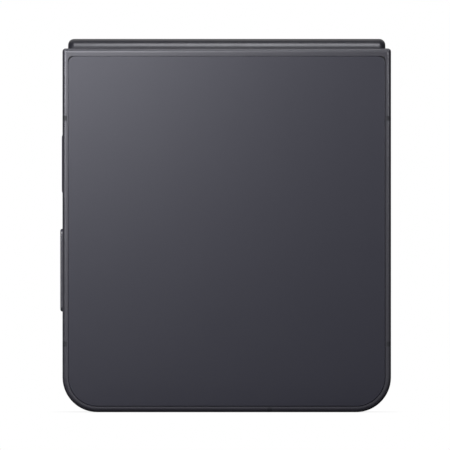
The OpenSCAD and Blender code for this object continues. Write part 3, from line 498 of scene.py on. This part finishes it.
def smoothPiece(piece, degrees=40, weighted=True):
    activate(piece)
    bpy.ops.object.shade_smooth_by_angle(angle=math.radians(degrees))
    if weighted:
        bpy.ops.object.modifier_add(type="WEIGHTED_NORMAL")
        piece.modifiers[-1].keep_sharp = True
        bpy.ops.object.modifier_apply(modifier=piece.modifiers[-1].name)


def flattenFaces(piece, axis, nearness=0.9999):
    # the wide faces across an axis are shaded flat, so that holes leave no streaks on them
    smoothPiece(piece, weighted=False)
    for face in piece.data.polygons:
        if abs(face.normal[axis]) > nearness:
            face.use_smooth = False


def subtract(piece, cutter):
    activate(piece)
    cut = piece.modifiers.new("cut", "BOOLEAN")
    cut.operation = "DIFFERENCE"
    cut.solver = "EXACT"
    cut.object = cutter
    bpy.ops.object.modifier_apply(modifier=cut.name)
    bpy.data.objects.remove(cutter)


def cutHole(piece, x, z, radius, y=0, depth=20 * mm, sides=96):
    # a round hole through the thickness of a panel
    deselectAll()
    bpy.ops.mesh.primitive_cylinder_add(vertices=sides, radius=radius, depth=depth,
                                        location=(x, y, z), rotation=(quarterTurn, 0, 0))
    subtract(piece, bpy.context.object)


def turnedDisc(name, x, z, steps, facing=1, sides=72):
    # a disc that points along Y, drawn out step by step through (radius, y) places in mm
    profile = [(radius * mm, y * mm) for radius, y in steps]
    radius, y = profile[0]
    deselectAll()
    bpy.ops.mesh.primitive_circle_add(vertices=sides, radius=radius, fill_type="NGON",
                                      location=(x, y, z),
                                      rotation=(-quarterTurn * facing, 0, 0))
    piece = newPiece(name)
    openEdit("FACE", "SELECT")
    for nextRadius, nextY in profile[1:]:
        extrude((0, nextY - y, 0))
        share = nextRadius / radius
        bpy.ops.transform.resize(value=(share, 1, share), center_override=(x, nextY, z))
        radius, y = nextRadius, nextY
    closeEdit()
    return piece


def joinPieces(name, pieces):
    deselectAll()
    for piece in pieces:
        piece.select_set(True)
    bpy.context.view_layer.objects.active = pieces[0]
    bpy.ops.object.join()
    pieces[0].name = name
    return pieces[0]


def settle(piece, body, slot, stands=(), finish=None):
    # paints a piece and puts it on its body, in the place of the nodes it stands for
    paint(piece, materials[finish or slot])
    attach(piece, body)
    if stands:
        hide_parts(*stands)


# back glass and cover glass

glassLook = {
    "cornerRadius": 6.67 * mm,
    "cornerSegments": 18,
    "hingeCornerRadius": 1.6 * mm,
    "hingeCornerSegments": 8,
    "edgeBevel": 0.14 * mm,
    "edgeSegments": 4,
}


def glassPanel(name, node, outward):
    low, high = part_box(node)
    panel = addBlock(name, low, high)
    bevelEdges(panel, farCorners, glassLook["cornerRadius"], glassLook["cornerSegments"])
    bevelEdges(panel, lambda a, b: along(1)(a, b) and a.z > high.z - touch,
               glassLook["hingeCornerRadius"], glassLook["hingeCornerSegments"])
    face = high.y if outward > 0 else low.y
    bevelEdges(panel, bothAt(1, face), glassLook["edgeBevel"], glassLook["edgeSegments"])
    return panel


backPanel = glassPanel("backGlassPanel", "lower_back_glass", -1)
smoothPiece(backPanel)
settle(backPanel, "lower_half", "back_glass", ["lower_back_glass"])
print("back glass made")

cameraLook = {
    "places": [(-26.6 * mm, 12.8 * mm), (-13.4 * mm, 12.8 * mm)],
    "holeRadius": 5.0 * mm,
    "flashPlace": (-3.8 * mm, 12.8 * mm),
    "flashRadius": 1.8 * mm,
    "frontPlace": (0, 6.2 * mm),
}
coverPanel = glassPanel("coverGlassPanel", "cover_glass", 1)
for place in cameraLook["places"]:
    cutHole(coverPanel, *place, cameraLook["holeRadius"])
cutHole(coverPanel, *cameraLook["flashPlace"], cameraLook["flashRadius"])
flattenFaces(coverPanel, 1)
settle(coverPanel, "upper_half", "cover_glass", ["cover_glass"])
print("cover glass made")


# camera lenses, flash and front camera, each as (radius, y) places in mm

lensLook = {
    "baffle": [(4.35, 6.86), (4.35, 7.3), (4.28, 7.35), (3.5, 7.35), (3.42, 7.27), (3.05, 7.27),
               (3.0, 7.13), (2.7, 7.13), (2.65, 7.0), (2.3, 7.0), (2.25, 6.9), (1.9, 6.88)],
    "glass": [(2.27, 6.88), (2.27, 6.91), (2.15, 6.96), (1.9, 7.02), (1.6, 7.07), (1.3, 7.105),
              (1.0, 7.13), (0.7, 7.147), (0.4, 7.157), (0.15, 7.16)],
    "flash": [(1.75, 6.27), (1.75, 6.8), (1.7, 6.84), (1.45, 6.84), (1.42, 6.76), (1.15, 6.84),
              (1.12, 6.76), (0.85, 6.84), (0.82, 6.76), (0.55, 6.84), (0.52, 6.76),
              (0.25, 6.83)],
    "front": [(1.55, 0.84), (1.55, 0.62), (1.5, 0.58), (1.1, 0.58), (1.06, 0.66), (0.8, 0.66),
              (0.74, 0.6), (0.5, 0.56), (0.25, 0.545)],
    "crispAngle": 30,  # keeps the steps of the baffles and the flash sharp
    "glassAngle": 60,
    "frontAngle": 40,
}
baffles, lenses = [], []
for place in cameraLook["places"]:
    baffles.append(turnedDisc("baffle", *place, lensLook["baffle"]))
    lenses.append(turnedDisc("lens", *place, lensLook["glass"]))
lensBaffles, lensGlasses = joinPieces("lensBaffles", baffles), joinPieces("lensGlasses", lenses)
smoothPiece(lensBaffles, lensLook["crispAngle"])
smoothPiece(lensGlasses, lensLook["glassAngle"])
settle(lensBaffles, "upper_half", "camera_black", ["camera_windows"], "lens_baffle")
settle(lensGlasses, "upper_half", "lens_glass")
flashLens = turnedDisc("flashLens", *cameraLook["flashPlace"], lensLook["flash"])
smoothPiece(flashLens, lensLook["crispAngle"])
settle(flashLens, "upper_half", "flash_lens", ["flash"])
frontLens = turnedDisc("frontLens", *cameraLook["frontPlace"], lensLook["front"], facing=-1)
smoothPiece(frontLens, lensLook["frontAngle"])
settle(frontLens, "upper_half", "lens_glass", finish="lens_baffle")
print("lenses made")


# spine: a round-topped bar with softly rounded ends

spineLook = {
    "low": (-36.35, -5.5, 81.35),
    "high": (36.35, 5.5, 85.5),
    "topRound": 3.85 * mm,
    "topSegments": 24,
    "endRound": 1.38 * mm,
    "endSegments": 7,
    "wall": 0.64 * mm,
    "smoothAngle": 30,
    # notches for the arms' necks: start and end along the spine, and the side they are on
    "notches": [(-25.25, -20.35, -1), (26.75, 31.65, -1), (-31.65, -26.75, 1),
                (20.35, 25.25, 1)],
    "notchReach": (3.5, 7),  # how far from the middle
    "notchHeight": (80, 82.62),
}


def makeSpine():
    low, high = Vector(spineLook["low"]) * mm, Vector(spineLook["high"]) * mm
    spine = addBlock("spineShell", low, high)
    bevelEdges(spine, lambda a, b: along(0)(a, b) and a.z > high.z - touch,
               spineLook["topRound"], spineLook["topSegments"])
    for end in (low.x, high.x):
        bevelEdges(spine, lambda a, b: bothAt(0, end)(a, b) and max(a.z, b.z) > low.z + touch,
                   spineLook["endRound"], spineLook["endSegments"])
    selectFaces(spine, Vector((0, 0, -1)))
    bpy.ops.mesh.delete(type="FACE")
    closeEdit()
    wall = spine.modifiers.new("wall", "SOLIDIFY")
    wall.thickness = spineLook["wall"]
    wall.offset = -1
    bpy.ops.object.modifier_apply(modifier=wall.name)
    cutters = []
    foot, top = spineLook["notchHeight"]
    for start, end, side in spineLook["notches"]:
        near, far = sorted(side * reach for reach in spineLook["notchReach"])
        cutters.append(addBlock("notch", Vector((start, near, foot)) * mm,
                                Vector((end, far, top)) * mm))
    subtract(spine, joinPieces("notches", cutters))
    smoothPiece(spine, spineLook["smoothAngle"])
    settle(spine, "spine", "spine_metal", ["spine_cover"])


makeSpine()
print("spine made")


# port contacts and the mesh behind the loudspeaker holes, in mm

portLook = {
    "middle": -3.6,
    "tongueHalf": 0.35,
    "contactSize": (0.26, 0.04, 3.4),
    "contactPitch": 0.5,
    "contacts": 12,
    "contactFoot": 1.6,
    "footBevel": 0.015,
    "footSegments": 2,
    "smoothAngle": 30,
}


def makeContacts():
    width, thick, length = portLook["contactSize"]
    foot = portLook["contactFoot"]
    pads = []
    for side in (-1, 1):
        for number in range(portLook["contacts"]):
            x = (number - (portLook["contacts"] - 1) / 2) * portLook["contactPitch"]
            y = portLook["middle"] + side * (portLook["tongueHalf"] + thick / 2)
            pad = addBlock("pad", Vector((x - width / 2, y - thick / 2, foot)) * mm,
                           Vector((x + width / 2, y + thick / 2, foot + length)) * mm)
            bevelEdges(pad, bothAt(2, foot * mm), portLook["footBevel"] * mm,
                       portLook["footSegments"])
            pads.append(pad)
    contacts = joinPieces("portContacts", pads)
    smoothPiece(contacts, portLook["smoothAngle"])
    settle(contacts, "lower_half", "port_steel", finish="gold_plate")


meshLook = {
    "radius": 0.53,
    "sides": 32,
    "firstPlace": 12.6,
    "pitch": 2.3,
    "count": 6,
    "low": 0.75,
    "high": 0.95,
    "smoothAngle": 30,
}


def makeSpeakerMesh():
    discs = []
    for number in range(meshLook["count"]):
        x = meshLook["firstPlace"] + meshLook["pitch"] * number
        deselectAll()
        bpy.ops.mesh.primitive_circle_add(
            vertices=meshLook["sides"], radius=meshLook["radius"] * mm, fill_type="NGON",
            location=(x * mm, portLook["middle"] * mm, meshLook["low"] * mm),
            rotation=(2 * quarterTurn, 0, 0))
        discs.append(newPiece("disc"))
        openEdit("FACE", "SELECT")
        extrude((0, 0, (meshLook["high"] - meshLook["low"]) * mm))
        faceOutwards()
    mesh = joinPieces("speakerMesh", discs)
    smoothPiece(mesh, meshLook["smoothAngle"])
    settle(mesh, "lower_half", "port_steel", finish="fine_mesh")


makeContacts()
makeSpeakerMesh()
print("port details made")


# keys: a rounded cap on two stems

keyLook = {
    "capDepth": 0.8 * mm,
    "roundSegments": 14,
    "edgeBevel": 0.45 * mm,
    "edgeSegments": 5,
    "stemRadius": 0.5 * mm,
    "stemSides": 24,
    "stemPlaces": (0.25, 0.75),  # shares of the cap's length
}


def keyCap(name, node):
    low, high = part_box(node)
    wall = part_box("upper_frame")[0].x
    cap = addBlock(name, low, Vector((wall + keyLook["capDepth"], high.y, high.z)))
    bevelEdges(cap, along(0), (high.y - low.y) / 2 - touch, keyLook["roundSegments"])
    bevelEdges(cap, bothAt(0, low.x), keyLook["edgeBevel"], keyLook["edgeSegments"])
    length = high.x - wall - keyLook["capDepth"] / 2
    stems = []
    for share in keyLook["stemPlaces"]:
        deselectAll()
        bpy.ops.mesh.primitive_cylinder_add(
            vertices=keyLook["stemSides"], radius=keyLook["stemRadius"], depth=length,
            location=(high.x - length / 2, (low.y + high.y) / 2,
                      low.z + (high.z - low.z) * share),
            rotation=(0, quarterTurn, 0))
        stems.append(newPiece("stem"))
    joinPieces(name, [cap, *stems])
    smoothPiece(cap)
    return cap


for name, node in (("shortKeyCap", "side_key"), ("longKeyCap", "volume_key")):
    settle(keyCap(name, node), node, "key_metal", [node])
print("keys made")


# folding screen: built folded, as a loop inside the hinge

screenLook = {
    "cornerRadius": 5.5 * mm,
    "cornerSegments": 18,
    "thickness": 0.4 * mm,
    "holeRadius": 1.75 * mm,
    "holeMiddle": 0.5 * mm,
    "holeDepth": 1 * mm,
    "bendFrom": (-0.45 * mm, 78.9 * mm),  # (y, z) where the plain half's screen starts to bend
    "bendTo": (0.0, 80.45 * mm),
    "hingeAxis": (-1.65 * mm, 81.65 * mm),
    "bendRows": 24,
    "rowStep": 0.2 * mm,  # how far a row is drawn out before it goes to its place
    "crease": 0.05 * mm,
    "creaseShare": 0.25,  # the part of the bend that dips into the crease
    "smoothAngle": 35,
}


def bendPoint(share, depth):
    # where a point of the screen lies in the folded loop
    start, end = Vector(screenLook["bendFrom"]), Vector(screenLook["bendTo"])
    axis = Vector(screenLook["hingeAxis"])
    run = end - start
    turn = quarterTurn * share * share * (3 - 2 * share)
    across = Vector((math.cos(turn), -math.sin(turn)))
    runValue = share * run.length_squared + start.dot(run)
    acrossValue = start.x - depth - axis.x + axis.dot(across)
    divisor = run.x * across.y - run.y * across.x
    return ((runValue * across.y - run.y * acrossValue) / divisor,
            (run.x * acrossValue - runValue * across.x) / divisor)


def bendEdges(share):
    # the front and the back of the screen at one row
    return Vector(bendPoint(share, 0)), Vector(bendPoint(share, screenLook["thickness"]))


def addBendRow(panel, row):
    # draws out the next row and puts its front and its back in place
    rows = screenLook["bendRows"]
    share = row / rows
    extrude((0, 0, screenLook["rowStep"]))
    mesh = bmesh.from_edit_mesh(panel.data)
    front, back = bendEdges(share - 1 / rows)
    middle = (front + back) / 2 + Vector((0, screenLook["rowStep"]))
    front, back = bendEdges(share)
    facing = front - back
    dip = screenLook["crease"] * max(0, 1 - (1 - share) / screenLook["creaseShare"]) ** 2
    for vert in mesh.verts:
        if not vert.select:
            continue
        isFront = (Vector((vert.co.y, vert.co.z)) - middle).dot(facing) > 0
        depth = dip if isFront else screenLook["thickness"]
        if row < rows:
            vert.co.y, vert.co.z = bendPoint(share, depth)
        else:
            vert.co.y, vert.co.z = 0, screenLook["bendTo"][1] + depth
    bmesh.update_edit_mesh(panel.data)


def screenPiece(name, node, mirrored=False):
    low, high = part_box(node)
    face, foot = screenLook["bendFrom"]
    panel = addBlock(name, Vector((low.x, face - screenLook["thickness"], low.z)),
                     Vector((high.x, face, foot)))
    bevelEdges(panel, farCorners, screenLook["cornerRadius"], screenLook["cornerSegments"])
    selectFaces(panel, Vector((0, 0, 1)))
    for row in range(screenLook["bendRows"]):
        addBendRow(panel, row + 1)
    closeEdit()
    if mirrored:
        activate(panel)
        bpy.ops.transform.mirror(constraint_axis=(False, True, False), orient_type="GLOBAL")
        applyPlace()
        faceOutwards()
    return panel


lowerScreen = screenPiece("foldingScreenLower", "main_screen_lower")
upperScreen = screenPiece("foldingScreenUpper", "main_screen_upper", mirrored=True)
cutHole(upperScreen, *cameraLook["frontPlace"], screenLook["holeRadius"],
        screenLook["holeMiddle"], screenLook["holeDepth"])
for piece in (lowerScreen, upperScreen):
    smoothPiece(piece, screenLook["smoothAngle"], weighted=False)
    paint(piece, materials["main_screen"])
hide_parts("main_screen_lower", "main_screen_fold")
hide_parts("main_screen_upper")
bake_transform(lowerScreen)
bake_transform(upperScreen)
print("folding screen made")


# studio

lamps = {  # angles from straight in front: to the right, and up
    "keyPanel": dict(right=-23.2, up=25.6, distance=0.24, size=0.182, power=0.545),
    "topPanel": dict(right=0, up=80, distance=0.36, size=0.11, power=0.32),
    "rightPanel": dict(right=38, up=18, distance=0.28, size=0.09, power=0.29),
    "leftPanel": dict(right=-46, up=18, distance=0.26, size=0.1, power=0.46),
    "upperPanel": dict(right=-12, up=31, distance=0.3, size=0.08, power=0.17),
    "lowPanel": dict(right=-10, up=-9, distance=0.3, size=0.08, power=0.0205),
    "rearLeftPanel": dict(right=-160, up=46, distance=0.45, size=0.28, power=0.13),
    "rearRightPanel": dict(right=156, up=44, distance=0.45, size=0.28, power=0.09),
}


def addToScene(name, data):
    thing = bpy.data.objects.new(name, data)
    bpy.context.scene.collection.objects.link(thing)
    return thing


def makeLamp(name, look):
    data = bpy.data.lights.new(name, "AREA")
    data.shape = "SQUARE"
    data.size = look["size"]
    data.energy = look["power"]
    lamp = addToScene(name, data)
    side, rise = math.radians(look["right"]), math.radians(look["up"])
    towards = Vector((math.sin(side) * math.cos(rise), -math.cos(side) * math.cos(rise),
                      math.sin(rise)))
    lamp.location = cadMiddle + towards * look["distance"]
    lamp.rotation_euler = (-towards).to_track_quat("-Z", "Y").to_euler()
    lamp.visible_camera = False


def mixShaders(tree, factor, first, second):
    mix = tree.nodes.new("ShaderNodeMixShader")
    tree.links.new(factor, mix.inputs["Fac"])
    tree.links.new(first, mix.inputs[1])
    tree.links.new(second, mix.inputs[2])
    return mix.outputs["Shader"]


floorLook = {
    "size": 1.6,
    "below": 0.02 * mm,
    "bounce": (0.16, 0.16, 0.16, 1),  # what matt surfaces see of the floor
    "gloss": 0.4,  # how pale glossy surfaces see it, away from the phone
    # glossy surfaces see the floor painted dark near the phone, fading to pale over this reach:
    # painted shade of the phone
    "glossShadeReach": (8 * mm, 60 * mm),
    "shadowReach": 6 * mm,
    "shadowDepth": 0.17,
    "shadowSamples": 16,
}


def makeFloor():
    deselectAll()
    bpy.ops.mesh.primitive_plane_add(size=floorLook["size"],
                                     location=(0, 0, cadBox[0].z - floorLook["below"]))
    floor = bpy.context.object
    floor.name = "studioFloor"
    material = bpy.data.materials.new("paleFloor")
    tree, output = emptyTree(material, "ShaderNodeOutputMaterial")
    matt = tree.nodes.new("ShaderNodeBsdfDiffuse")
    setInputs(matt, {"Color": floorLook["bounce"]})
    white = tree.nodes.new("ShaderNodeEmission")
    near = tree.nodes.new("ShaderNodeAmbientOcclusion")  # the soft shadow where the phone stands
    setInputs(near, {"Distance": floorLook["shadowReach"]})
    near.samples = floorLook["shadowSamples"]
    hidden = mathNode(tree, "SUBTRACT", 1, near.outputs["AO"])
    shade = mathNode(tree, "MULTIPLY", hidden, floorLook["shadowDepth"])
    tree.links.new(mathNode(tree, "SUBTRACT", 1, shade), white.inputs["Strength"])
    pale = tree.nodes.new("ShaderNodeEmission")
    place = tree.nodes.new("ShaderNodeTexCoord")
    away = mathNode(tree, "ABSOLUTE", axisParts(tree, place.outputs["Object"])["Y"])
    # painted shade: glossy surfaces see the floor dark near the phone and pale further away
    paleBeyondShade = valueBand(tree, away, *floorLook["glossShadeReach"], 0, floorLook["gloss"])
    tree.links.new(paleBeyondShade, pale.inputs["Strength"])
    rays = tree.nodes.new("ShaderNodeLightPath")
    seen = mixShaders(tree, rays.outputs["Is Glossy Ray"], matt.outputs["BSDF"],
                      pale.outputs["Emission"])
    seen = mixShaders(tree, rays.outputs["Is Camera Ray"], seen, white.outputs["Emission"])
    tree.links.new(seen, output.inputs["Surface"])
    paint(floor, material)


roomLook = {
    "ambient": 0.12,
    "ahead": 0.54,  # how pale gloss sees the room on the camera's side of the phone
    "beside": 0.03,
    "behind": 0.14,
    "behindFrom": (0.6, 0.95),  # the Y of the direction looked in
    "back": 0.26,  # a paler patch straight behind
    "backFrom": (0.95, 0.995),
}


def makeWorld():
    # the camera sees white all round; gloss sees a room that is pale ahead and dim beside
    world = bpy.data.worlds.new("studioWorld")
    bpy.context.scene.world = world
    tree, output = emptyTree(world, "ShaderNodeOutputWorld")
    room = tree.nodes.new("ShaderNodeBackground")
    white = tree.nodes.new("ShaderNodeBackground")
    setInputs(white, {"Color": (1, 1, 1, 1)})
    rays = tree.nodes.new("ShaderNodeLightPath")
    direction = tree.nodes.new("ShaderNodeTexCoord")
    depth = axisParts(tree, direction.outputs["Generated"])["Y"]
    beside = roomLook["beside"]
    ahead = valueBand(tree, depth, -1, 0, roomLook["ahead"] - beside, 0)
    behind = valueBand(tree, depth, *roomLook["behindFrom"], 0, roomLook["behind"] - beside)
    back = valueBand(tree, depth, *roomLook["backFrom"], 0, roomLook["back"])
    gloss = mathNode(tree, "ADD", ahead, mathNode(tree, "ADD", behind, back))
    gloss = mathNode(tree, "ADD", gloss, beside - roomLook["ambient"])
    seen = mathNode(tree, "MULTIPLY", gloss, rays.outputs["Is Glossy Ray"])
    tree.links.new(mathNode(tree, "ADD", seen, roomLook["ambient"]), room.inputs["Strength"])
    shown = mixShaders(tree, rays.outputs["Is Camera Ray"], room.outputs["Background"],
                       white.outputs["Background"])
    tree.links.new(shown, output.inputs["Surface"])


cameraView = {
    "centre": (-0.4 * mm, 42.84 * mm),  # (x, z) in the middle of the picture
    "width": 102.97 * mm,
    "lens": 1000,
    "sensor": 36,
    "clip": (0.1, 10),
}


def makeCamera():
    data = bpy.data.cameras.new("photoCamera")
    camera = addToScene("photoCamera", data)
    bpy.context.scene.camera = camera
    data.lens = cameraView["lens"]
    data.sensor_width = cameraView["sensor"]
    distance = cameraView["width"] * data.lens / data.sensor_width
    x, z = cameraView["centre"]
    camera.location = (x, cadBox[0].y - distance, z)
    camera.rotation_euler = (quarterTurn, 0, 0)
    data.clip_start, data.clip_end = cameraView["clip"]


makeFloor()
makeWorld()
for name, look in lamps.items():
    makeLamp(name, look)
makeCamera()
bpy.context.scene.view_settings.view_transform = "Standard"
print("studio made")
